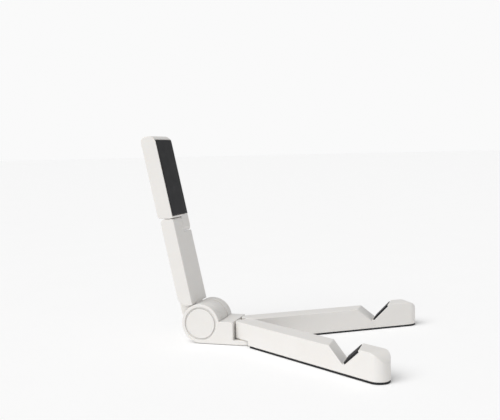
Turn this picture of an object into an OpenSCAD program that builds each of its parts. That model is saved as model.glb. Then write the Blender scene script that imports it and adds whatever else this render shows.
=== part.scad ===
// Fold-up tablet stand: a hub, a two-part arm that tilts on it, and two legs that swing out of it.
// Millimetres, +Z up. The origin is the centre of the hub's foot pad, on the surface that the stand
// stands on. The user sits at -Y and +X is the user's right.

/* [Stand] */
// Width of the hub, of the arm and of the folded stand
body_w = 30; // [28:0.5:32]
// Diameter of the hub's round cheeks
hub_d = 28.6; // [28:0.1:29]
// Height of the hub's block and of the legs
deck_h = 16.75; // [16:0.05:16.8]
// Lean of the arm behind upright, in degrees
lean = 12; // [0:1:16]
// Swing of each leg out of its folded place, in degrees
spread = 34.4; // [20:0.2:35]

/* [Hub] */
// Height of the arm's tilt axis above the surface
axis_z = 14.7; // [14.7:0.05:15]
// Distance from the foot's centre back to the tilt axis
axis_y = 20; // [19.5:0.1:20.5]
// Distance from the tilt axis to the block's front face
block_front = 24.7; // [24.5:0.1:25]
// Thickness of each cheek
cheek_t = 7.6; // [7.4:0.1:7.8]
// Diameter of the cap in each cheek
cap_d = 21.8; // [20:0.2:22]
// Radius of the arm's tilt bolt
bolt_r = 2.5; // [2:0.1:2.6]

/* [Arm] */
// Distance of the arm's front face behind the tilt axis
arm_front = 2.8; // [2.6:0.1:3]
// Distance of the lower arm's back face behind the tilt axis
arm_back = 13.4; // [13.2:0.1:13.6]
// Distance of the extension's back face behind the tilt axis
extension_back_at = 14.6; // [14:0.1:15]
// Distance along the arm from the tilt axis to the extension's hinge pin
pin_s = 77; // [76.8:0.1:77.1]
// Distance of that pin behind the tilt axis
pin_d = 10.4; // [10.3:0.1:10.6]
// Distance along the arm from the tilt axis to its top
arm_len = 142; // [138:0.5:142.5]

/* [Legs] */
// Width of a leg
leg_w = 14.7; // [14.6:0.1:14.8]
// Length of a leg from its pivot to its tip
leg_len = 133; // [131:0.5:135]
// Distance from the tilt axis forward to the legs' pivots
pivot_at = 34; // [33.8:0.1:34.4]
// Thickness of the rubber sole
sole_t = 1.3; // [1.2:0.05:1.4]
// Height of the toe's top
toe_h = 18.8; // [18.4:0.1:19.2]

/* [Hidden] */
$fn = 96;

WHITE = [0.92, 0.91, 0.88];
BLACK = [0.06, 0.06, 0.07];
STEEL = [0.72, 0.73, 0.74];
BRASS = [0.78, 0.62, 0.33];
NYLON = [0.80, 0.79, 0.74];

// Small distances shared by the pieces
E = 0.01;           // overshoot of a cutter past a face
LOOSE = 0.05;       // running clearance round a shaft, and beside a flat face
SPLIT = 0.4;        // visible gap between two mouldings
WALL = 2;           // moulded wall

// Hub
hub_r = hub_d / 2;
half_w = body_w / 2;
cheek_in = half_w - cheek_t;
barrel_r = hub_r - 0.3;
barrel_half = cheek_in - 0.8;
hub_low = 0.4;
cap_r = cap_d / 2;
groove_r = cap_r + 1.1;
groove_depth = 0.9;
pocket_r = cap_r - 0.6;
pocket_floor = cheek_in + 2.2;
foot_l = 13;
foot_w = 23;
foot_t = 1.5;
tongue_top = 3.9;

// Hardware on the tilt axis
bush_r = 4;
head_t = 3;
head_r = 4.6;
washer_t = 0.6;
spring_t = 1.2;
nut_t = 1.8;
nut_across = 8;
bolt_end = pocket_floor + washer_t + spring_t + nut_t;

// Leg pivots
pivot_x = half_w / 2;
leg_half = leg_w / 2;
leg_low = 4.3;
step_at = 8.4;
sole_from = 10.5;
screw_head_r = 4.2;
screw_head_t = 1.5;
shoulder_r = 3;
insert_r = 3.4;
thread_r = 1.9;
screw_top = 11;

// Leg inside
base_t = 1.6;
base_from = 13;
cavity_top = deck_h - WALL;
cavity_to = 74;
leg_screw_at = [22, 46, 70, 122];

// Toe, in the plane of the open leg: the notch runs square to the way the user faces
notch_y = 80.5;
notch_z = 7;
pad_t = 1.2;
pad_seat = 0.9;
nose_r = 9;
pad_low = 1.4;
pad_high = 15.2;

// Arm
arm_low = 14.6;
corner_r = 7.5;
tail_back = 16;
rib_t = 2;
lip = 1.2;
cover_t = 1.6;
tip_r = 6;

// Half-lap hinge: the lower arm's ear is left of the middle, the extension's knuckle right of it
seam_s = 79.1;
seam_flat = 5.9;
seam_rise = 1.6;
seam_angle = atan(seam_rise / (arm_back - seam_flat));
ear_r = arm_back - pin_d;
ear_to = 1;
ear_round = 2;
shoulder_s = 68;
knuckle_low = 68.5;
knuckle_r = 8.5;
knuckle_round = 7;
round_s = 72.1;
pin_r = 1.5;

// Back covers
cover_low = arm_low + corner_r + WALL - lip + 0.2;
cover_high = shoulder_s - 1.8;
lower_screws = [cover_low + 6, cover_high - 6];
ext_cover_low = seam_s + SPLIT + seam_rise + 5;
ext_cover_high = arm_len - 7;
extension_screw_at = [ext_cover_low + 6, ext_cover_high - 6];

// Pad on the extension
pad_from = 81.3;
pad_to = 138;
pad_depth = 1.8;
pad_proud = 0.25;

// ---------- shared shapes ----------

// Puts a shape that is drawn about the tilt axis, with the arm along +Z, into the stand.
module on_arm() {
    translate([0, axis_y, axis_z])
        rotate([-lean, 0, 0])
            children();
}

// A cylinder along X from x0 to x1, centred on the tilt axis.
module along_x(x0, x1, r) {
    translate([x0, axis_y, axis_z])
        rotate([0, 90, 0])
            cylinder(h = x1 - x0, r = r);
}

// A ring along X from x0 to x1, centred on the tilt axis.
module ring_x(x0, x1, r_out, r_in) {
    difference() {
        along_x(x0, x1, r_out);
        along_x(x0 - E, x1 + E, r_in);
    }
}

// Extrudes an outline drawn as [depth, distance along the arm] across the arm, from x0 to x1.
module across(x0, x1) {
    translate([x0, 0, 0])
        rotate([90, 0, 90])
            linear_extrude(height = x1 - x0)
                children();
}

// A rectangle with rounded corners, from corner a to corner b.
module soft_rect(a, b, r) {
    translate([a[0] + r, a[1]])
        square([b[0] - a[0] - 2 * r, b[1] - a[1]]);
    translate([a[0], a[1] + r])
        square([b[0] - a[0], b[1] - a[1] - 2 * r]);
    for (x = [a[0] + r, b[0] - r], y = [a[1] + r, b[1] - r])
        translate([x, y])
            circle(r = r);
}

// Puts a right leg's shape, drawn folded with its pivot at [0, 0], in its open place.
module right_leg() {
    translate([pivot_x, axis_y - pivot_at, 0])
        rotate([0, 0, spread])
            children();
}

// The same for the left leg.
module left_leg() {
    mirror([1, 0, 0])
        right_leg()
            children();
}

// ---------- hub ----------

// Side outline of the block and tongue in front of the cheeks, as [y, z] from the tilt axis's foot.
module block_outline() {
    translate([-block_front, hub_low])
        square([block_front, deck_h - hub_low]);
}

// Plan of the tongue under the legs' pivots.
module tongue_plan() {
    translate([-half_w, -pivot_at])
        square([body_w, pivot_at - block_front + 1]);
    translate([-pivot_x, -pivot_at - leg_half])
        square([2 * pivot_x, leg_half + 1]);
    for (x = [-pivot_x, pivot_x])
        translate([x, -pivot_at])
            circle(r = pivot_x);
}

module hub_yoke() {
    color(WHITE)
    difference() {
        union() {
            along_x(-half_w, half_w, hub_r);
            translate([0, axis_y, 0])
                across(-half_w, half_w)
                    block_outline();
            translate([0, axis_y, hub_low])
                linear_extrude(height = tongue_top - hub_low)
                    tongue_plan();
        }
        // room for the arm's barrel between the cheeks
        along_x(-cheek_in, cheek_in, hub_r + 0.3);
        // pockets, grooves and bore in the cheeks
        for (side = [0, 1])
            mirror([side, 0, 0]) {
                along_x(pocket_floor, half_w + E, pocket_r);
                along_x(half_w - groove_depth, half_w + E, groove_r);
            }
        along_x(-half_w, half_w, bolt_r + LOOSE);
        // hollow block, closed by the foot pad
        translate([-foot_w / 2 + 2, -foot_l / 2 + 2, hub_low - E])
            cube([foot_w - 4, foot_l - 6, 10]);
        foot_recess();
        // bores and counterbores of the legs' shoulder screws
        for (x = [-pivot_x, pivot_x])
            translate([x, axis_y - pivot_at, 0]) {
                translate([0, 0, hub_low - E])
                    cylinder(h = screw_head_t + 0.2, r = screw_head_r + 0.4);
                cylinder(h = tongue_top + 1, r = shoulder_r + LOOSE);
            }
    }
}

module foot_recess() {
    translate([0, 0, hub_low - E])
        linear_extrude(height = foot_t - hub_low + E)
            soft_rect([-foot_w / 2, -foot_l / 2], [foot_w / 2, foot_l / 2], 2);
}

module hub_foot() {
    color(BLACK)
    linear_extrude(height = foot_t)
        soft_rect([-foot_w / 2 + 0.2, -foot_l / 2 + 0.2], [foot_w / 2 - 0.2, foot_l / 2 - 0.2], 1.8);
}

module hub_cap() {
    color(WHITE) {
        along_x(half_w - groove_depth, half_w, cap_r);
        ring_x(half_w - 2.6, half_w - groove_depth, pocket_r - 0.05, pocket_r - 1.3);
        along_x(half_w - groove_depth - 0.6, half_w - groove_depth + E, pocket_r - 0.05);
    }
}

module left_hub_cap() {
    mirror([1, 0, 0])
        hub_cap();
}

module right_hub_cap() {
    hub_cap();
}

module tilt_bolt() {
    color(STEEL)
    difference() {
        union() {
            along_x(-pocket_floor - head_t, -pocket_floor, head_r);
            along_x(-pocket_floor - E, bolt_end, bolt_r);
        }
        translate([-pocket_floor - head_t - E, axis_y, axis_z])
            rotate([0, 90, 0])
                cylinder(h = 2, r = 2.3, $fn = 6);
    }
}

module tilt_nut() {
    color(STEEL)
    difference() {
        translate([bolt_end - nut_t, axis_y, axis_z])
            rotate([0, 90, 0])
                cylinder(h = nut_t, r = nut_across / sqrt(3), $fn = 6);
        along_x(bolt_end - nut_t - E, bolt_end + E, bolt_r);
    }
}

module tilt_washer() {
    color(STEEL)
    ring_x(pocket_floor, pocket_floor + washer_t, 5.5, bolt_r + LOOSE);
}

module disc_springs() {
    color(STEEL)
    for (i = [0, 1])
        ring_x(
            pocket_floor + washer_t + i * spring_t / 2 + 0.05,
            pocket_floor + washer_t + (i + 1) * spring_t / 2 - 0.05,
            5 - i * 0.4,
            bolt_r + LOOSE
        );
}

module friction_disc() {
    color(NYLON)
    ring_x(barrel_half + LOOSE, cheek_in, barrel_r - 1.5, bush_r + 0.5);
}

module left_friction_disc() {
    mirror([1, 0, 0])
        friction_disc();
}

module right_friction_disc() {
    friction_disc();
}

module thrust_washer() {
    color(NYLON)
    translate([pivot_x, axis_y - pivot_at, tongue_top])
        difference() {
            cylinder(h = leg_low - tongue_top - LOOSE, r = leg_half - 0.6);
            translate([0, 0, -E])
                cylinder(h = 1, r = shoulder_r + 0.3);
        }
}

module left_thrust_washer() {
    mirror([1, 0, 0])
        thrust_washer();
}

module right_thrust_washer() {
    thrust_washer();
}

// ---------- arm ----------

// Side outline of the lower arm: square at the front, a large round at the low back corner, and a
// sloped seam at the top that is rounded about the hinge pin.
module lower_side() {
    difference() {
        union() {
            translate([arm_front, arm_low])
                square([arm_back - corner_r - arm_front, corner_r]);
            intersection() {
                translate([arm_back - corner_r, arm_low + corner_r])
                    circle(r = corner_r);
                translate([arm_front, arm_low])
                    square(2 * corner_r);
            }
            polygon([
                [arm_front, arm_low + corner_r],
                [arm_back, arm_low + corner_r],
                [arm_back, seam_s + seam_rise],
                [seam_flat, seam_s],
                [arm_front, seam_s]
            ]);
        }
        difference() {
            translate([arm_front - 1, seam_s - ear_round])
                square(ear_round + 1);
            translate([arm_front + ear_round, seam_s - ear_round])
                circle(r = ear_round);
        }
        difference() {
            translate([pin_d - ear_r * sin(seam_angle), pin_s])
                square(ear_r + 2);
            translate([pin_d, pin_s])
                circle(r = ear_r);
        }
    }
}

// Side outline of the barrel, and of the web with its tail that joins the barrel to the arm.
module barrel_side() {
    circle(r = barrel_r);
    translate([arm_front, 0])
        square([arm_back - arm_front, arm_low + corner_r]);
    polygon([
        [arm_back - 1, 5],
        [arm_back, 5],
        [tail_back, 8],
        [tail_back, arm_low + corner_r - 1.6],
        [arm_back, arm_low + corner_r + 0.4],
        [arm_back - 1, arm_low + corner_r + 0.4]
    ]);
}

module lower_arm_shell() {
    color(WHITE)
    on_arm()
    difference() {
        union() {
            across(-half_w, half_w)
                lower_side();
            across(-barrel_half, barrel_half)
                barrel_side();
        }
        // bore for the bush
        across(-barrel_half - E, barrel_half + E)
            circle(r = bush_r);
        // hollow, open at the back
        translate([-half_w + WALL, arm_front + WALL, arm_low + corner_r + WALL])
            cube([body_w - 2 * WALL, arm_back, cover_high - arm_low - corner_r - WALL - 1]);
        // seat of the back cover
        across(-half_w + lip, half_w - lip)
            translate([arm_back - cover_t, cover_low - 0.2])
                square([cover_t + 4, cover_high - cover_low + 0.4]);
        // room for the extension's knuckle, right of the ear
        translate([ear_to, arm_front - 1, shoulder_s])
            cube([half_w, arm_back, 20]);
        // the hinge pin's press fit
        translate([-half_w + WALL, pin_d, pin_s])
            rotate([0, 90, 0])
                cylinder(h = body_w, r = pin_r);
    }
    color(WHITE)
    on_arm()
    cover_posts(arm_front + WALL, arm_back - cover_t, cover_low, cover_high, lower_screws);
}

// The rib and the screw posts behind a back cover, from the front wall back to the cover.
module cover_posts(front, back, low, high, screws) {
    difference() {
        union() {
            translate([-rib_t / 2, front - E, low + 0.5])
                cube([rib_t, back - front - 0.1, high - low - 1]);
            for (s = screws)
                translate([0, front - E, s])
                    rotate([-90, 0, 0])
                        cylinder(h = back - front, r = 3);
        }
        for (s = screws)
            translate([0, front + 0.8, s])
                rotate([-90, 0, 0])
                    cylinder(h = 20, r = 1);
    }
}

module lower_arm_cover() {
    color(WHITE)
    on_arm()
    difference() {
        translate([0, arm_back - cover_t, 0])
            rotate([-90, 0, 0])
                linear_extrude(height = cover_t)
                    mirror([0, 1])
                        soft_rect([-half_w + lip + 0.2, cover_low], [half_w - lip - 0.2, cover_high], 0.8);
        for (s = lower_screws)
            screw_hole(s, arm_back);
    }
}

// Clearance hole and countersink of a cover screw at distance s along the arm.
module screw_hole(s, face) {
    translate([0, face + E, s])
        rotate([90, 0, 0]) {
            cylinder(h = 4, r = 1.2);
            cylinder(h = 1, r1 = 2.4, r2 = 1.2);
        }
}

// A countersunk screw whose head is flush with a cover's outer face.
module cover_screw(s, face) {
    translate([0, face - 0.05, s])
        rotate([90, 0, 0])
            difference() {
                union() {
                    cylinder(h = 0.95, r1 = 2.2, r2 = 1);
                    cylinder(h = 6.5, r = 1);
                }
                translate([0, 0, -E])
                    cross_slot();
            }
}

module cross_slot() {
    for (a = [0, 90])
        rotate([0, 0, a])
            translate([-1.3, -0.25, 0])
                cube([2.6, 0.5, 0.6]);
}

module lower_arm_screws() {
    color(STEEL)
    on_arm()
    for (s = lower_screws)
        cover_screw(s, arm_back);
}

module barrel_bush() {
    color(STEEL)
    on_arm()
    across(-barrel_half, barrel_half)
        difference() {
            circle(r = bush_r);
            circle(r = bolt_r + LOOSE);
        }
}

module extension_pin() {
    color(STEEL)
    on_arm()
    translate([-half_w + WALL, pin_d, pin_s])
        rotate([0, 90, 0])
            cylinder(h = body_w - WALL - 0.5, r = pin_r);
}

// Side outline of the extension above the seam, with a round top.
module extension_side() {
    low = seam_s + SPLIT;
    difference() {
        union() {
            polygon([
                [arm_front, low],
                [seam_flat, low],
                [arm_back, low + seam_rise],
                [extension_back_at - 0.6, low + seam_rise + 0.5],
                [extension_back_at, low + seam_rise + 2],
                [extension_back_at, arm_len - 4],
                [arm_front, arm_len - 4]
            ]);
            translate([arm_front + tip_r, arm_len - tip_r])
                circle(r = tip_r);
            translate([extension_back_at - 4, arm_len - 4])
                circle(r = 4);
            translate([arm_front + tip_r, arm_len - 5])
                square([extension_back_at - 4 - arm_front - tip_r, 5]);
        }
        difference() {
            translate([arm_front - 1, arm_len - tip_r])
                square([tip_r + 1, tip_r + 1]);
            translate([arm_front + tip_r, arm_len - tip_r])
                circle(r = tip_r);
        }
    }
}

// Side outline of the knuckle below the seam: it follows the arm's front face, then rounds off
// towards the shoulder, and it is round about the hinge pin at the back.
module knuckle_side() {
    intersection() {
        union() {
            translate([arm_front, round_s])
                square([arm_back - arm_front, seam_s + seam_rise - round_s]);
            intersection() {
                translate([arm_front + knuckle_round, round_s])
                    circle(r = knuckle_round);
                translate([arm_front, knuckle_low])
                    square([arm_back - arm_front, round_s - knuckle_low + E]);
            }
        }
        union() {
            translate([pin_d, pin_s])
                circle(r = knuckle_r);
            translate([arm_front - 1, knuckle_low])
                square([pin_d - arm_front + 1, 20]);
            translate([arm_front, pin_s])
                square(20);
        }
    }
}

module extension_shell() {
    color(WHITE)
    on_arm() {
        difference() {
            union() {
                across(-half_w, half_w)
                    extension_side();
                across(ear_to + SPLIT, half_w)
                    knuckle_side();
            }
            // running bore for the hinge pin
            translate([-half_w, pin_d, pin_s])
                rotate([0, 90, 0])
                    cylinder(h = body_w, r = pin_r + LOOSE);
            // seat of the pad
            across(-half_w + lip / 2, half_w - lip / 2)
                translate([arm_front - 1, pad_from])
                    square([pad_depth + 1, pad_to - pad_from]);
            // hollow, open at the back
            translate([-half_w + WALL, arm_front + pad_depth + WALL, ext_cover_low + 1])
                cube([body_w - 2 * WALL, arm_back, ext_cover_high - ext_cover_low - 2]);
            // seat of the back cover
            across(-half_w + lip, half_w - lip)
                translate([extension_back_at - cover_t, ext_cover_low - 0.2])
                    square([cover_t + 1, ext_cover_high - ext_cover_low + 0.4]);
        }
        cover_posts(
            arm_front + pad_depth + WALL,
            extension_back_at - cover_t,
            ext_cover_low,
            ext_cover_high,
            extension_screw_at
        );
    }
}

module extension_cover() {
    color(WHITE)
    on_arm()
    difference() {
        translate([0, extension_back_at - cover_t, 0])
            rotate([-90, 0, 0])
                linear_extrude(height = cover_t)
                    mirror([0, 1])
                        soft_rect(
                            [-half_w + lip + 0.2, ext_cover_low],
                            [half_w - lip - 0.2, ext_cover_high],
                            0.8
                        );
        for (s = extension_screw_at)
            screw_hole(s, extension_back_at);
    }
}

module extension_screws() {
    color(STEEL)
    on_arm()
    for (s = extension_screw_at)
        cover_screw(s, extension_back_at);
}

module extension_pad() {
    color(BLACK)
    on_arm()
    translate([-half_w + lip / 2 + 0.1, arm_front - pad_proud, pad_from + 0.1])
        cube([body_w - lip - 0.2, pad_depth + pad_proud - 0.05, pad_to - pad_from - 0.2]);
}

// ---------- legs ----------

// Plan of a folded right leg: square at the outer rear corner, round elsewhere at the ends.
module leg_plan(from, inset) {
    difference() {
        union() {
            circle(r = leg_half - inset);
            translate([-leg_half + inset, -leg_len + leg_half])
                square([leg_w - 2 * inset, leg_len - leg_half]);
            translate([0, -leg_len + leg_half])
                circle(r = leg_half - inset);
            intersection() {
                circle(r = 9);
                square([leg_half - inset, 9]);
            }
        }
        translate([-20, -from])
            square([40, 40]);
    }
}

// Side outline of a leg as [distance from the pivot, height], with the step over the hub's tongue.
module leg_side() {
    difference() {
        union() {
            translate([-9, sole_t])
                square([leg_len - nose_r + 9, deck_h - sole_t]);
            translate([notch_y + 15, sole_t])
                square([leg_len - nose_r - notch_y - 15, toe_h - sole_t]);
            translate([leg_len - nose_r, toe_h - nose_r])
                circle(r = nose_r);
            translate([leg_len - nose_r, sole_t])
                square([nose_r, toe_h - nose_r - sole_t]);
        }
        translate([-10, 0])
            square([10 + step_at, leg_low]);
        translate([0, -20])
            square([leg_len + 1, 20 + sole_t]);
    }
}

// Puts a shape into the notch for the tablet's lower edge: the notch runs along X in the open
// stand, +Y follows its rear slope up and +Z its front slope up. The result is in the frame of
// the folded right leg.
module in_notch() {
    rotate([0, 0, -spread])
        translate([-pivot_x, -notch_y, notch_z])
            rotate([45, 0, 0])
                children();
}

module notch_cut() {
    in_notch()
        translate([-20, 0, 0])
            cube([140, 60, 60]);
}

// The slab on the notch's front slope that the toe pad fills, grown by gap.
module pad_slab(gap, height) {
    in_notch()
        translate([-20, -pad_seat, pad_low - gap])
            cube([140, height, pad_high - pad_low + 2 * gap]);
}

module leg_shell() {
    color(WHITE)
    difference() {
        intersection() {
            translate([0, 0, -1])
                linear_extrude(height = toe_h + 2)
                    leg_plan(-20, 0);
            translate([leg_half + 1, 0, 0])
                rotate([90, 0, -90])
                    linear_extrude(height = leg_w + 2)
                        leg_side();
        }
        notch_cut();
        pad_slab(0.1, 3);
        // hollow, open below
        translate([-leg_half + WALL, -cavity_to, sole_t - 1])
            cube([leg_w - 2 * WALL, cavity_to - base_from, cavity_top - sole_t + 1]);
        // seat of the base plate
        translate([0, 0, sole_t - 1])
            linear_extrude(height = base_t + 1)
                base_plan(0);
        // pivot insert, and screw holes
        translate([0, 0, leg_low - 1])
            cylinder(h = screw_top - leg_low + 1, r = insert_r);
        translate([0, -leg_screw_at[3], 0])
            cylinder(h = 9, r = 1);
    }
    color(WHITE)
    for (i = [0:2])
        translate([0, -leg_screw_at[i], sole_t + base_t])
            difference() {
                cylinder(h = cavity_top - sole_t - base_t + E, r = 2.6);
                translate([0, 0, -E])
                    cylinder(h = 6, r = 1);
            }
}

// Plan of the plate that closes a leg's underside.
module base_plan(gap) {
    difference() {
        leg_plan(base_from + gap, lip + gap);
        translate([-20, -leg_len - 1])
            square([40, 5]);
    }
}

module leg_base() {
    color(WHITE)
    translate([0, 0, sole_t])
        difference() {
            linear_extrude(height = base_t)
                base_plan(0.2);
            for (t = leg_screw_at)
                translate([0, -t, -E]) {
                    cylinder(h = 3, r = 1.2);
                    cylinder(h = 0.9, r = 2.3);
                }
        }
}

module leg_screws() {
    color(STEEL)
    for (t = leg_screw_at)
        translate([0, -t, sole_t + 0.05])
            difference() {
                union() {
                    cylinder(h = 0.8, r = 2.1);
                    cylinder(h = 5.5, r = 1);
                }
                translate([0, 0, -E])
                    cross_slot();
            }
}

module sole() {
    color(BLACK)
    linear_extrude(height = sole_t)
        leg_plan(sole_from, 0.15);
}

module toe_pad() {
    color(BLACK)
    intersection() {
        pad_slab(0, pad_t);
        linear_extrude(height = toe_h)
            leg_plan(-20, 0.3);
    }
}

module pivot_insert() {
    color(BRASS)
    translate([0, 0, leg_low])
        difference() {
            cylinder(h = screw_top - leg_low - 0.1, r = insert_r);
            translate([0, 0, -E])
                cylinder(h = screw_top - leg_low + 1, r = thread_r);
        }
}

module pivot_screw() {
    color(STEEL)
    translate([0, 0, hub_low + 0.1])
        difference() {
            union() {
                cylinder(h = screw_head_t, r = screw_head_r);
                cylinder(h = leg_low - hub_low - 0.1, r = shoulder_r);
                cylinder(h = screw_top - hub_low - 1, r = thread_r);
            }
            translate([0, 0, -E])
                cylinder(h = 1, r = 1.8, $fn = 6);
        }
}

module left_leg_shell() { left_leg() leg_shell(); }
module left_leg_base() { left_leg() leg_base(); }
module left_leg_screws() { left_leg() leg_screws(); }
module left_sole() { left_leg() sole(); }
module left_toe_pad() { left_leg() toe_pad(); }
module left_pivot_insert() { left_leg() pivot_insert(); }
module left_pivot_screw() { left_leg() pivot_screw(); }
module right_leg_shell() { right_leg() leg_shell(); }
module right_leg_base() { right_leg() leg_base(); }
module right_leg_screws() { right_leg() leg_screws(); }
module right_sole() { right_leg() sole(); }
module right_toe_pad() { right_leg() toe_pad(); }
module right_pivot_insert() { right_leg() pivot_insert(); }
module right_pivot_screw() { right_leg() pivot_screw(); }

// ---------- the stand ----------

hub_yoke();
hub_foot();
left_hub_cap();
right_hub_cap();
tilt_bolt();
tilt_nut();
tilt_washer();
disc_springs();
left_friction_disc();
right_friction_disc();
left_thrust_washer();
right_thrust_washer();
lower_arm_shell();
lower_arm_cover();
lower_arm_screws();
barrel_bush();
extension_pin();
extension_shell();
extension_cover();
extension_screws();
extension_pad();
left_leg_shell();
left_leg_base();
left_leg_screws();
left_sole();
left_toe_pad();
left_pivot_insert();
left_pivot_screw();
right_leg_shell();
right_leg_base();
right_leg_screws();
right_sole();
right_toe_pad();
right_pivot_insert();
right_pivot_screw();
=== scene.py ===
"""Looks of a fold-up tablet stand: satin white mouldings, black rubber pads and plated hardware.

Every length in this file is in millimetres unless a name ends in _m. The frame and the meshes that
are handed to Blender are in metres.
"""

import logging
import math
from dataclasses import dataclass
from enum import Enum

import bmesh
import bpy
from mathutils import Matrix, Vector
from mathutils.bvhtree import BVHTree


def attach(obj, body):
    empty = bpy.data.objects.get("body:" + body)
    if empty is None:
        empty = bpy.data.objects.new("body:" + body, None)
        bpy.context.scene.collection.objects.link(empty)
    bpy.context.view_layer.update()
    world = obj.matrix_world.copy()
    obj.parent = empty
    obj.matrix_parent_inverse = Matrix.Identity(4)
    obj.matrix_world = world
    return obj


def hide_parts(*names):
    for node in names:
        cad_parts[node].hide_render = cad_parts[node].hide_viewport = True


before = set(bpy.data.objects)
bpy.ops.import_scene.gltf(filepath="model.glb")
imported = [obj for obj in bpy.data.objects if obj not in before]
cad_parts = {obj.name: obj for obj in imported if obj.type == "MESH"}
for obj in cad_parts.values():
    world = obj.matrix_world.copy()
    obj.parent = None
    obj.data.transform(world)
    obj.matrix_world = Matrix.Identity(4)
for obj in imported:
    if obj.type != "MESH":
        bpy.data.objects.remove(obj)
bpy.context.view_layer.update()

MM = 0.001
ARM_LEAN = 12.0  # degrees behind upright
SAME_POINT = 0.002  # points of a CAD mesh that are closer than this are one
FLAT_TURN = 0.4  # degrees between the triangles of one flat face
SHARP_TURN = 34.0  # degrees at which a face meets its neighbour in an edge
EDGE_SEGMENTS = 3  # faces across a rounded edge
PAST_SURFACE = 0.01  # how far a rounded piece may stand out of its CAD node
OFF_SURFACE = 0.03  # where a ray that looks for open air starts
OPEN_AIR = 40.0  # how far it has to get
LOG = logging.getLogger("tablet_stand")


# ---------------------------------------------------------------- colours and nodes


def linear(hex_colour: str) -> tuple[float, float, float, float]:
    """Turns an sRGB hex colour into the linear one that Blender's sockets take.

    Args:
        hex_colour: Six hex digits, such as "ebe8e2".

    Returns:
        Red, green, blue and an alpha of 1, as linear values.
    """
    parts = [int(hex_colour[i : i + 2], 16) / 255 for i in (0, 2, 4)]
    red, green, blue = (c / 12.92 if c <= 0.04045 else ((c + 0.055) / 1.055) ** 2.4 for c in parts)
    return (red, green, blue, 1.0)


def add_node(
    tree: bpy.types.NodeTree,
    kind: str,
    inputs: dict[str | int, object] | None = None,
    **settings: object,
) -> bpy.types.Node:
    """Adds one node to a tree.

    Args:
        tree: The material's or the geometry group's tree.
        kind: The node's type name.
        inputs: For each input socket, by name or number, a value or the socket that feeds it.
        **settings: Properties of the node itself.

    Returns:
        The new node.
    """
    node = tree.nodes.new(kind)
    for name, value in settings.items():
        setattr(node, name, value)
    for key, value in (inputs or {}).items():
        if isinstance(value, bpy.types.NodeSocket):
            tree.links.new(value, node.inputs[key])
        else:
            node.inputs[key].default_value = value
    return node


class Finish:
    """A real material and the way its surface was made, as a procedural Blender material."""

    name: str

    def dress(
        self,
        tree: bpy.types.NodeTree,
        shader: bpy.types.Node,
        place: bpy.types.NodeSocket,
    ) -> None:
        """Adds the finish's own nodes.

        Args:
            tree: The material's tree.
            shader: Its Principled BSDF.
            place: Object coordinates in millimetres.
        """
        raise NotImplementedError

    def material(self) -> bpy.types.Material:
        """Builds the material once.

        Returns:
            The material, the same one each time.
        """
        found = bpy.data.materials.get(self.name)
        if found is not None:
            return found
        made = bpy.data.materials.new(self.name)
        made.use_nodes = True
        tree = made.node_tree
        tree.nodes.clear()
        where = add_node(tree, "ShaderNodeTexCoord")
        place = add_node(
            tree,
            "ShaderNodeVectorMath",
            {0: where.outputs["Object"], "Scale": 1 / MM},
            operation="SCALE",
        )
        shader = add_node(tree, "ShaderNodeBsdfPrincipled")
        add_node(tree, "ShaderNodeOutputMaterial", {"Surface": shader.outputs[0]})
        self.dress(tree, shader, place.outputs[0])
        return made


@dataclass(frozen=True)
class MouldedPlastic(Finish):
    """Injection-moulded ABS or nylon: even, faintly clouded, with the fine grain of a spark-eroded mould.

    Args:
        name: The material's name.
        colour: Its sRGB colour.
        cloud: The sRGB colour it drifts towards in soft patches.
        roughness: Its mean roughness.
        grain: Distance between the grain's bumps.
        depth: How deep the grain looks.
        subsurface: Share of light that scatters in the plastic.
    """

    name: str
    colour: str
    cloud: str
    roughness: float
    grain: float = 0.35
    depth: float = 0.05
    subsurface: float = 0.0

    def dress(
        self,
        tree: bpy.types.NodeTree,
        shader: bpy.types.Node,
        place: bpy.types.NodeSocket,
    ) -> None:
        """Adds the clouding, the uneven gloss and the mould's grain.

        Args:
            tree: The material's tree.
            shader: Its Principled BSDF.
            place: Object coordinates in millimetres.
        """
        clouds = add_node(
            tree,
            "ShaderNodeTexNoise",
            {"Vector": place, "Scale": 1 / 22, "Detail": 2.0, "Roughness": 0.5},
        )
        tint = add_node(
            tree,
            "ShaderNodeMix",
            {0: clouds.outputs["Fac"], 6: linear(self.colour), 7: linear(self.cloud)},
            data_type="RGBA",
        )
        gloss = add_node(
            tree,
            "ShaderNodeTexNoise",
            {"Vector": place, "Scale": 1 / 5, "Detail": 3.0, "Roughness": 0.6},
        )
        rough = add_node(
            tree,
            "ShaderNodeMapRange",
            {
                "Value": gloss.outputs["Fac"],
                "From Min": 0.25,
                "From Max": 0.75,
                "To Min": self.roughness - 0.04,
                "To Max": self.roughness + 0.05,
            },
        )
        grain = add_node(
            tree,
            "ShaderNodeTexNoise",
            {"Vector": place, "Scale": 1 / self.grain, "Detail": 2.0, "Roughness": 0.5},
        )
        bump = add_node(
            tree,
            "ShaderNodeBump",
            {"Height": grain.outputs["Fac"], "Strength": self.depth, "Distance": 0.05 * MM},
        )
        tree.links.new(tint.outputs[2], shader.inputs["Base Color"])
        tree.links.new(rough.outputs[0], shader.inputs["Roughness"])
        tree.links.new(bump.outputs[0], shader.inputs["Normal"])
        shader.inputs["IOR"].default_value = 1.54
        if self.subsurface:
            shader.inputs["Subsurface Weight"].default_value = self.subsurface
            shader.inputs["Subsurface Scale"].default_value = 1.5 * MM
            shader.inputs["Subsurface Radius"].default_value = (1.0, 0.8, 0.6)


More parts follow.
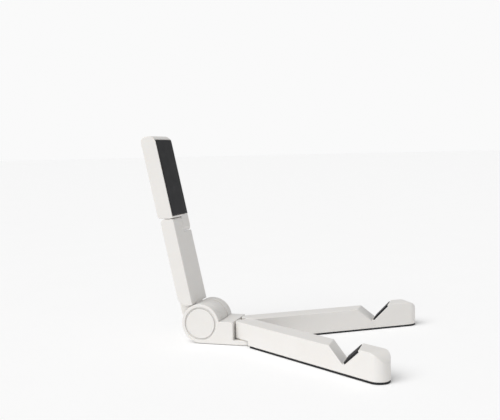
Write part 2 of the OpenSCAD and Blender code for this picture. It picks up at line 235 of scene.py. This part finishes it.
@dataclass(frozen=True)
class MouldedRubber(Finish):
    """Compression-moulded rubber: near black, matt, with a dusty bloom and a fine stipple.

    Args:
        name: The material's name.
        colour: Its sRGB colour.
        bloom: The sRGB colour of the dusty bloom.
        roughness: Its mean roughness.
    """

    name: str
    colour: str
    bloom: str
    roughness: float

    def dress(
        self,
        tree: bpy.types.NodeTree,
        shader: bpy.types.Node,
        place: bpy.types.NodeSocket,
    ) -> None:
        """Adds the bloom, the uneven gloss and the stipple.

        Args:
            tree: The material's tree.
            shader: Its Principled BSDF.
            place: Object coordinates in millimetres.
        """
        patches = add_node(
            tree,
            "ShaderNodeTexNoise",
            {"Vector": place, "Scale": 1 / 9, "Detail": 5.0, "Roughness": 0.62},
        )
        shade = add_node(
            tree,
            "ShaderNodeMapRange",
            {
                "Value": patches.outputs["Fac"],
                "From Min": 0.4,
                "From Max": 0.8,
                "To Min": 0.0,
                "To Max": 0.8,
            },
        )
        tint = add_node(
            tree,
            "ShaderNodeMix",
            {0: shade.outputs[0], 6: linear(self.colour), 7: linear(self.bloom)},
            data_type="RGBA",
        )
        rough = add_node(
            tree,
            "ShaderNodeMapRange",
            {
                "Value": patches.outputs["Fac"],
                "From Min": 0.3,
                "From Max": 0.7,
                "To Min": self.roughness - 0.07,
                "To Max": self.roughness + 0.07,
            },
        )
        # the real stipple is about 0.2 mm, drawn at 0.5 mm so that it shows
        stipple = add_node(
            tree,
            "ShaderNodeTexVoronoi",
            {"Vector": place, "Scale": 1 / 0.5, "Randomness": 0.9},
        )
        bump = add_node(
            tree,
            "ShaderNodeBump",
            {"Height": stipple.outputs["Distance"], "Strength": 0.25, "Distance": 0.08 * MM},
        )
        tree.links.new(tint.outputs[2], shader.inputs["Base Color"])
        tree.links.new(rough.outputs[0], shader.inputs["Roughness"])
        tree.links.new(bump.outputs[0], shader.inputs["Normal"])
        shader.inputs["IOR"].default_value = 1.52
        shader.inputs["Specular IOR Level"].default_value = 0.35


@dataclass(frozen=True)
class TurnedMetal(Finish):
    """Turned or drawn metal: bright, with fine tool marks and a slightly mottled plating.

    Args:
        name: The material's name.
        colour: Its sRGB colour.
        stain: The sRGB colour of the duller patches.
        roughness: Its mean roughness.
        pitch: Distance between tool marks.
    """

    name: str
    colour: str
    stain: str
    roughness: float
    pitch: float = 0.3

    def dress(
        self,
        tree: bpy.types.NodeTree,
        shader: bpy.types.Node,
        place: bpy.types.NodeSocket,
    ) -> None:
        """Adds the mottled plating and the tool marks.

        Args:
            tree: The material's tree.
            shader: Its Principled BSDF.
            place: Object coordinates in millimetres.
        """
        mottle = add_node(
            tree,
            "ShaderNodeTexNoise",
            {"Vector": place, "Scale": 1 / 1.5, "Detail": 4.0, "Roughness": 0.6},
        )
        tint = add_node(
            tree,
            "ShaderNodeMix",
            {0: mottle.outputs["Fac"], 6: linear(self.colour), 7: linear(self.stain)},
            data_type="RGBA",
        )
        rough = add_node(
            tree,
            "ShaderNodeMapRange",
            {
                "Value": mottle.outputs["Fac"],
                "From Min": 0.3,
                "From Max": 0.7,
                "To Min": self.roughness - 0.06,
                "To Max": self.roughness + 0.08,
            },
        )
        marks = add_node(
            tree,
            "ShaderNodeTexWave",
            {"Vector": place, "Scale": 0.31 / self.pitch, "Distortion": 1.2, "Detail": 2.0},
            bands_direction="DIAGONAL",
        )
        bump = add_node(
            tree,
            "ShaderNodeBump",
            {"Height": marks.outputs["Fac"], "Strength": 0.08, "Distance": 0.03 * MM},
        )
        tree.links.new(tint.outputs[2], shader.inputs["Base Color"])
        tree.links.new(rough.outputs[0], shader.inputs["Roughness"])
        tree.links.new(bump.outputs[0], shader.inputs["Normal"])
        shader.inputs["Metallic"].default_value = 1.0


@dataclass(frozen=True)
class PaperSweep(Finish):
    """A pale seamless paper floor with a barely visible tooth.

    Args:
        name: The material's name.
        colour: Its sRGB colour.
    """

    name: str
    colour: str

    def dress(
        self,
        tree: bpy.types.NodeTree,
        shader: bpy.types.Node,
        place: bpy.types.NodeSocket,
    ) -> None:
        """Adds the paper's tooth.

        Args:
            tree: The material's tree.
            shader: Its Principled BSDF.
            place: Object coordinates in millimetres.
        """
        tooth = add_node(
            tree,
            "ShaderNodeTexNoise",
            {"Vector": place, "Scale": 1 / 60, "Detail": 3.0, "Roughness": 0.5},
        )
        paper = linear(self.colour)
        tint = add_node(
            tree,
            "ShaderNodeMix",
            {0: tooth.outputs["Fac"], 6: paper, 7: tuple(0.985 * c for c in paper[:3]) + (1.0,)},
            data_type="RGBA",
        )
        tree.links.new(tint.outputs[2], shader.inputs["Base Color"])
        shader.inputs["Roughness"].default_value = 0.9


class Stock(Enum):
    """The finishes that the stand's pieces are made in."""

    # warm white ABS, spark-eroded satin: soft broad highlights that still have an edge
    WHITE_ABS = MouldedPlastic("satin_white_abs_moulded", "e6e4e1", "e2dfdb", 0.36, subsurface=0.06)
    # undyed nylon, duller and yellower than the shells, seen only in the joints
    NYLON = MouldedPlastic("natural_nylon_moulded", "d9d4c4", "cfc9b8", 0.5, depth=0.1, subsurface=0.12)
    # black elastomer, nearly without highlights
    RUBBER = MouldedRubber("black_rubber_moulded", "101114", "1b1c20", 0.62)
    # bright zinc plating on turned steel: grey-blue, slightly cloudy
    STEEL = TurnedMetal("zinc_plated_steel_turned", "bfc1c4", "a3a6ab", 0.3)
    # turned brass of the threaded inserts
    BRASS = TurnedMetal("brass_turned", "cba65c", "b68f49", 0.28)

    def paint(self, piece: bpy.types.Object) -> None:
        """Makes this the piece's only material."""
        piece.data.materials.clear()
        piece.data.materials.append(self.value.material())


# ---------------------------------------------------------------- making pieces


def merged_copy(node: str, whole: bool = True) -> bmesh.types.BMesh:
    """Copies a CAD node's loose triangles and joins them into closed shells.

    Args:
        node: The CAD node's name.
        whole: Whether the triangles of a flat face become one face.

    Returns:
        The joined mesh, in metres.
    """
    bm = bmesh.new()
    bm.from_mesh(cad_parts[node].data)
    bmesh.ops.remove_doubles(bm, verts=bm.verts, dist=SAME_POINT * MM)
    if whole:
        bmesh.ops.dissolve_limit(
            bm,
            angle_limit=math.radians(FLAT_TURN),
            verts=bm.verts,
            edges=bm.edges,
            delimit=set(),
        )
    bmesh.ops.recalc_face_normals(bm, faces=bm.faces)
    return bm


def new_object(name: str, bm: bmesh.types.BMesh) -> bpy.types.Object:
    """Makes a scene object of a mesh, and frees the mesh.

    Args:
        name: The object's name.
        bm: The mesh, in metres.

    Returns:
        The object, at the origin.
    """
    mesh = bpy.data.meshes.new(name)
    bm.to_mesh(mesh)
    bm.free()
    made = bpy.data.objects.new(name, mesh)
    bpy.context.scene.collection.objects.link(made)
    return made


def baked(piece: bpy.types.Object) -> bpy.types.Object:
    """Turns an object with modifiers into a plain mesh with none.

    Args:
        piece: The object.

    Returns:
        The same object.
    """
    graph = bpy.context.evaluated_depsgraph_get()
    graph.update()
    plain = bpy.data.meshes.new_from_object(piece.evaluated_get(graph), depsgraph=graph)
    piece.modifiers.clear()
    old = piece.data
    piece.data = plain
    plain.name = piece.name
    bpy.data.meshes.remove(old)
    return piece


def settle(piece: bpy.types.Object, stock: Stock, body: str, *nodes: str) -> bpy.types.Object:
    """Paints a finished piece, puts it on its body and lets it stand for its CAD nodes.

    Args:
        piece: The finished piece.
        stock: Its finish.
        body: The CAD body that it rides on.
        *nodes: The CAD nodes that it stands for.

    Returns:
        The same piece.
    """
    stock.paint(piece)
    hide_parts(*nodes)
    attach(piece, body)
    LOG.info("%s rides on %s: %d faces", piece.name, body, len(piece.data.polygons))
    return piece


def held_inside(piece: bpy.types.Object, node: str, reach: float) -> None:
    """Pulls stray points of a piece back to the surface of its CAD node.

    Args:
        piece: The piece, a plain mesh.
        node: The CAD node.
        reach: Distance that a point may lie inside the surface.
    """
    bm = merged_copy(node, whole=False)
    surface = BVHTree.FromBMesh(bm)
    bm.free()
    for vertex in piece.data.vertices:
        near, normal, _, gap = surface.find_nearest(vertex.co)
        if gap > reach * MM or (vertex.co - near).dot(normal) > PAST_SURFACE * MM:
            vertex.co = near


def softened(node: str, name: str, edge: float) -> bpy.types.Object:
    """Copies a CAD node and rounds its sharp edges as a mould does.

    Args:
        node: The CAD node.
        name: The new piece's name.
        edge: Radius of the rounded edges.

    Returns:
        The piece, a plain mesh.
    """
    bm = merged_copy(node)
    surface = BVHTree.FromBMesh(bm)
    weight = bm.edges.layers.float.new("bevel_weight_edge")
    for rim in bm.edges:
        rim.smooth = rim.calc_face_angle(math.pi) < math.radians(SHARP_TURN)
        if rim.smooth or rim.calc_face_angle_signed() < 0:
            continue
        out = (rim.link_faces[0].normal + rim.link_faces[1].normal).normalized()
        middle = (rim.verts[0].co + rim.verts[1].co) / 2
        # edges inside a cavity are never seen, and stay sharp
        rim.smooth = surface.ray_cast(middle + OFF_SURFACE * MM * out, out, OPEN_AIR * MM)[0] is None
        rim[weight] = float(rim.smooth)
    piece = new_object(name, bm)
    for face in piece.data.polygons:
        face.use_smooth = True
    bevel = piece.modifiers.new("rounded_edges", "BEVEL")
    bevel.width = edge * MM
    bevel.segments = EDGE_SEGMENTS
    bevel.limit_method = "WEIGHT"
    bevel.use_clamp_overlap = False
    bevel.harden_normals = False
    bevel.miter_outer = "MITER_ARC"
    baked(piece)
    held_inside(piece, node, 0.8 * edge)
    weighted = piece.modifiers.new("even_normals", "WEIGHTED_NORMAL")
    weighted.keep_sharp = True
    weighted.weight = 80
    return baked(piece)


def dress_node(node: str, stock: Stock) -> None:
    """Gives a CAD node that stays as it is its finish.

    Args:
        node: The CAD node.
        stock: Its finish.
    """
    stock.paint(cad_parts[node])
    LOG.info("%s is kept, in %s", node, stock.value.name)


# ---------------------------------------------------------------- screws


def seats_of(node: str) -> list[Vector]:
    """Finds the centre of each separate shell of a CAD node.

    Args:
        node: The CAD node, such as a row of screws.

    Returns:
        The centres, in metres, in a fixed order.
    """
    bm = merged_copy(node)
    left = set(bm.verts)
    centres = []
    while left:
        shell, edge = set(), {left.pop()}
        while edge:
            shell |= edge
            edge = {e.other_vert(v) for v in edge for e in v.link_edges} - shell
        left -= shell
        lo = Vector([min(v.co[i] for v in shell) for i in range(3)])
        hi = Vector([max(v.co[i] for v in shell) for i in range(3)])
        centres.append((lo + hi) / 2)
    bm.free()
    return sorted(centres, key=lambda c: tuple(round(v, 5) for v in c))


@dataclass(frozen=True)
class ScrewRow:
    """A row of equal countersunk screws with cross recesses, set out by geometry nodes.

    Args:
        node: The CAD node of screws that it stands for.
        body: The CAD body that it rides on.
        out: Direction from the shanks to the heads.
        head_r: Radius of the heads.
        head_t: Depth of the heads' cones.
        rim: Height of the straight rim above the cone.
        shank_r: Radius of the shanks.
        length: Length of a screw, head and shank.
        recess: Reach of the cross recess, as a share of the head's radius.
        recess_t: Depth of the recess.
        chamfer: Width of the chamfer round the head.
        point: Length of the shank's tapered end.
        turns: Points round a screw.
        seed: Seed of the turns of the recesses.
    """

    node: str
    body: str
    out: Vector
    head_r: float
    head_t: float
    rim: float
    shank_r: float
    length: float
    recess: float = 0.62
    recess_t: float = 0.55
    chamfer: float = 0.12
    point: float = 0.4
    turns: int = 32
    seed: int = 7

    def ring(self, bm: bmesh.types.BMesh, r: float, z: float, arms: float) -> list[bmesh.types.BMVert]:
        """Adds one ring of points, or a single point where its radius is 0.

        Args:
            bm: The mesh.
            r: The ring's radius.
            z: Its height.
            arms: How much further it reaches along the recess's four arms.

        Returns:
            The ring's points.
        """
        if r == 0.0:
            return [bm.verts.new((0, 0, z * MM))]
        points = []
        for k in range(self.turns):
            a = 2 * math.pi * k / self.turns
            reach = r + arms * max(0.0, math.cos(4 * a)) ** 3
            points.append(bm.verts.new((reach * math.cos(a) * MM, reach * math.sin(a) * MM, z * MM)))
        return points

    def screw(self) -> bpy.types.Object:
        """Builds one screw, its middle at the origin and its head at +Z."""
        top = self.length / 2
        slot, deep = self.recess * self.head_r, self.recess_t
        arms = self.recess * slot
        # radius, height and reach of the arms, from the recess's floor over the head to the point
        profile = (
            (0.0, top - deep, 0.0),
            (slot * 0.5, top - deep * 0.8, arms),
            (slot * 0.55, top, arms),
            (self.head_r - self.chamfer, top, 0.0),
            (self.head_r, top - 0.1, 0.0),
            (self.head_r, top - self.rim, 0.0),
            (self.shank_r, top - self.rim - self.head_t, 0.0),
            (self.shank_r, -top + self.point, 0.0),
            (self.shank_r * 0.5, -top, 0.0),
            (0.0, -top, 0.0),
        )
        bm = bmesh.new()
        rings = [self.ring(bm, *station) for station in profile]
        for low, high in zip(rings, rings[1:]):
            for k in range(self.turns):
                corners = (
                    low[k % len(low)],
                    low[(k + 1) % len(low)],
                    high[(k + 1) % len(high)],
                    high[k % len(high)],
                )
                bm.faces.new(list(dict.fromkeys(corners)))
        bmesh.ops.recalc_face_normals(bm, faces=bm.faces)
        return new_object(f"{self.node}_pattern", bm)

    def tree(self, pattern: bpy.types.Object) -> bpy.types.NodeTree:
        """Builds the geometry nodes that put the screw on each seat.

        Args:
            pattern: The screw.

        Returns:
            The node group.
        """
        group = bpy.data.node_groups.new(f"{self.node}_row", "GeometryNodeTree")
        group.interface.new_socket("Seats", in_out="INPUT", socket_type="NodeSocketGeometry")
        size = group.interface.new_socket("Screw size", in_out="INPUT", socket_type="NodeSocketFloat")
        size.default_value = 1.0
        tilt = group.interface.new_socket("Head turn", in_out="INPUT", socket_type="NodeSocketRotation")
        tilt.default_value = self.out.to_track_quat("Z", "Y").to_euler()
        group.interface.new_socket("Screws", in_out="OUTPUT", socket_type="NodeSocketGeometry")
        given = add_node(group, "NodeGroupInput")
        shape = add_node(group, "GeometryNodeObjectInfo", {"Object": pattern})
        spin = add_node(
            group,
            "FunctionNodeRandomValue",
            {"Min": (0.0, 0.0, 0.0), "Max": (0.0, 0.0, math.pi / 2), "Seed": self.seed},
            data_type="FLOAT_VECTOR",
        )
        turned = add_node(
            group,
            "FunctionNodeRotateRotation",
            {0: given.outputs["Head turn"], 1: spin.outputs[0]},
            rotation_space="LOCAL",
        )
        placed = add_node(
            group,
            "GeometryNodeInstanceOnPoints",
            {
                "Points": given.outputs["Seats"],
                "Instance": shape.outputs["Geometry"],
                "Rotation": turned.outputs[0],
                "Scale": given.outputs["Screw size"],
            },
        )
        real = add_node(group, "GeometryNodeRealizeInstances", {"Geometry": placed.outputs[0]})
        dressed = add_node(
            group,
            "GeometryNodeSetMaterial",
            {"Geometry": real.outputs[0], "Material": Stock.STEEL.value.material()},
        )
        add_node(group, "NodeGroupOutput", {0: dressed.outputs[0]})
        return group

    def build(self) -> bpy.types.Object:
        """Builds the row as one plain mesh and puts it on its body.

        Returns:
            The row.
        """
        bm = bmesh.new()
        for centre in seats_of(self.node):
            bm.verts.new(centre)
        row = new_object(f"{self.node}_row", bm)
        pattern = self.screw()
        nodes = row.modifiers.new("screws", "NODES")
        nodes.node_group = self.tree(pattern)
        sockets = {item.name: item.identifier for item in nodes.node_group.interface.items_tree}
        nodes[sockets["Screw size"]] = 1.0
        baked(row)
        bpy.data.objects.remove(pattern)
        return settle(row, Stock.STEEL, self.body, self.node)


def cover_screws(node: str, body: str) -> ScrewRow:
    """Sets out the screws of one of the arm's back covers.

    Args:
        node: The CAD node of screws.
        body: The CAD body.

    Returns:
        The row, its heads towards the arm's back.
    """
    lean = math.radians(ARM_LEAN)
    return ScrewRow(node, body, Vector((0, math.cos(lean), -math.sin(lean))), 2.2, 0.95, 0.12, 1.0, 6.5)


# ---------------------------------------------------------------- sub-assemblies


def rubber_part(node: str, name: str, body: str, edge: float) -> None:
    """Builds a rubber piece, which is a pad all through.

    Args:
        node: The CAD node.
        name: The piece's name.
        body: The CAD body that it rides on.
        edge: Radius of its edges.
    """
    pad = softened(node, name, edge)
    settle(pad, Stock.RUBBER, body, node)


@dataclass
class Hub:
    """The yoke that the arm and the legs turn in, with its caps, bolt and foot.

    Args:
        body: The CAD body.
        edge: Radius of the mouldings' edges.
        cap_edge: Radius of the caps' rims.
        foot_edge: Radius of the foot's edges.
    """

    body: str = "base"
    edge: float = 0.45
    cap_edge: float = 0.6
    foot_edge: float = 0.3

    def build(self) -> None:
        """Builds the hub's pieces."""
        yoke = softened("hub_yoke", "hub_yoke_moulding", self.edge)
        settle(yoke, Stock.WHITE_ABS, self.body, "hub_yoke")
        for side in ("left", "right"):
            cap = softened(f"{side}_hub_cap", f"{side}_cap_moulding", self.cap_edge)
            settle(cap, Stock.WHITE_ABS, self.body, f"{side}_hub_cap")
            dress_node(f"{side}_friction_disc", Stock.NYLON)
            dress_node(f"{side}_thrust_washer", Stock.NYLON)
        rubber_part("hub_foot", "hub_foot_rubber", self.body, self.foot_edge)
        for node in ("tilt_bolt", "tilt_nut", "tilt_washer", "disc_springs"):
            dress_node(node, Stock.STEEL)


@dataclass
class Arm:
    """The lower arm with its back cover, bush and hinge pin.

    Args:
        body: The CAD body.
        edge: Radius of the mouldings' edges.
    """

    body: str = "arm"
    edge: float = 0.5

    def build(self) -> None:
        """Builds the lower arm's pieces."""
        shell = softened("lower_arm_shell", "lower_arm_moulding", self.edge)
        settle(shell, Stock.WHITE_ABS, self.body, "lower_arm_shell")
        dress_node("lower_arm_cover", Stock.WHITE_ABS)
        cover_screws("lower_arm_screws", self.body).build()
        dress_node("barrel_bush", Stock.STEEL)
        dress_node("extension_pin", Stock.STEEL)


@dataclass
class Extension:
    """The hinged upper half of the arm, with its back cover and its rubber pad.

    Args:
        body: The CAD body.
        edge: Radius of the moulding's edges.
        pad_edge: Radius of the pad's edges.
    """

    body: str = "extension"
    edge: float = 0.5
    pad_edge: float = 0.35

    def build(self) -> None:
        """Builds the extension's pieces."""
        shell = softened("extension_shell", "extension_moulding", self.edge)
        settle(shell, Stock.WHITE_ABS, self.body, "extension_shell")
        dress_node("extension_cover", Stock.WHITE_ABS)
        rubber_part("extension_pad", "extension_rubber", self.body, self.pad_edge)
        cover_screws("extension_screws", self.body).build()


@dataclass
class Leg:
    """One leg: its shell, base plate, sole, toe pad and pivot.

    Args:
        side: "left" or "right", as the user sees it.
        edge: Radius of the moulding's edges.
        rubber_edge: Radius of the edges of the sole and the toe pad.
    """

    side: str
    edge: float = 0.7
    rubber_edge: float = 0.3

    def build(self) -> None:
        """Builds the leg's pieces."""
        body = f"{self.side}_leg"
        shell = softened(f"{body}_shell", f"{body}_moulding", self.edge)
        settle(shell, Stock.WHITE_ABS, body, f"{body}_shell")
        rubber_part(f"{self.side}_sole", f"{self.side}_sole_rubber", body, self.rubber_edge)
        rubber_part(f"{self.side}_toe_pad", f"{self.side}_toe_rubber", body, self.rubber_edge)
        dress_node(f"{body}_base", Stock.WHITE_ABS)
        ScrewRow(f"{body}_screws", body, Vector((0, 0, -1)), 2.1, 0.15, 0.7, 1.0, 5.5, seed=11).build()
        dress_node(f"{self.side}_pivot_insert", Stock.BRASS)
        dress_node(f"{self.side}_pivot_screw", Stock.STEEL)


@dataclass
class Studio:
    """The pale floor, the soft lights and the camera.

    Args:
        paper: The floor's sRGB colour.
        floor_half_m: Half the floor's width, in metres.
        lens: The camera's focal length on a 36 mm sensor.
        eye: The camera's place.
        azimuth: Degrees round the object, 0 looking along +Y.
        elevation: Degrees above the horizon.
        roll: Degrees that the camera is tipped clockwise.
        shift: Upward shift of the view, in image widths.
        fill: Strength of the even light all round.
        backdrop: Brightness of the backdrop.
        key: Strength of the large soft key light.
        key_spread: Width of the key light, in degrees.
        key_from: Direction that the key light comes from.
    """

    paper: str = "fefefe"
    floor_half_m: float = 30.0
    lens: float = 56.2
    eye: tuple[float, float, float] = (-539.86, -182.12, 140.12)
    azimuth: float = -72.83
    elevation: float = 3.61
    roll: float = -1.26
    shift: float = -0.0214
    fill: float = 0.52
    backdrop: float = 0.955
    key: float = 1.9
    key_spread: float = 50.0
    key_from: tuple[float, float, float] = (-0.55, 0.35, 0.75)

    def build(self) -> None:
        """Builds the floor, the lights and the camera."""
        self.floor()
        self.lights()
        self.camera()

    def floor(self) -> None:
        """Builds the floor."""
        bm = bmesh.new()
        bmesh.ops.create_grid(bm, x_segments=8, y_segments=8, size=self.floor_half_m)
        made = new_object("paper_floor", bm)
        made.data.materials.append(PaperSweep("seamless_paper", self.paper).material())

    def lights(self) -> None:
        """Builds the soft key light and the even light all round, which looks brighter to the camera."""
        world = bpy.data.worlds.new("even_light")
        bpy.context.scene.world = world
        world.use_nodes = True
        tree = world.node_tree
        seen = add_node(tree, "ShaderNodeLightPath")
        level = add_node(
            tree,
            "ShaderNodeMapRange",
            {"Value": seen.outputs["Is Camera Ray"], "To Min": self.fill, "To Max": self.backdrop},
        )
        tree.links.new(level.outputs[0], tree.nodes["Background"].inputs["Strength"])
        tree.nodes["Background"].inputs["Color"].default_value = linear("ffffff")
        lamp = bpy.data.lights.new("soft_key", "SUN")
        lamp.energy = self.key
        lamp.angle = math.radians(self.key_spread)
        made = bpy.data.objects.new("soft_key", lamp)
        made.rotation_euler = Vector(self.key_from).to_track_quat("Z", "Y").to_euler()
        bpy.context.scene.collection.objects.link(made)

    def camera(self) -> None:
        """Builds the camera."""
        a, e, k = (math.radians(v) for v in (self.azimuth, self.elevation, self.roll))
        back = Vector((math.sin(a) * math.cos(e), -math.cos(a) * math.cos(e), math.sin(e)))
        right = (-back).cross(Vector((0, 0, 1))).normalized()
        up = right.cross(-back)
        rolled_right = right * math.cos(k) + up * math.sin(k)
        rolled_up = up * math.cos(k) - right * math.sin(k)
        lens = bpy.data.cameras.new("view")
        lens.lens = self.lens
        lens.sensor_width = 36
        lens.sensor_fit = "HORIZONTAL"
        lens.shift_y = self.shift
        lens.clip_start = 0.01
        lens.clip_end = 20
        made = bpy.data.objects.new("view", lens)
        turn = Matrix((rolled_right, rolled_up, back)).transposed().to_4x4()
        made.matrix_world = Matrix.Translation(Vector(self.eye) * MM) @ turn
        bpy.context.scene.collection.objects.link(made)
        bpy.context.scene.camera = made
        bpy.context.scene.view_settings.view_transform = "Standard"


# ---------------------------------------------------------------- the stand


def main() -> None:
    """Builds the stand and its studio."""
    logging.basicConfig(level=logging.INFO, format="%(name)s: %(message)s")
    Studio().build()
    for part in (Hub(), Arm(), Extension(), Leg("left"), Leg("right")):
        part.build()
        LOG.info("%s is built", type(part).__name__)


if __name__ == "__main__":
    main()
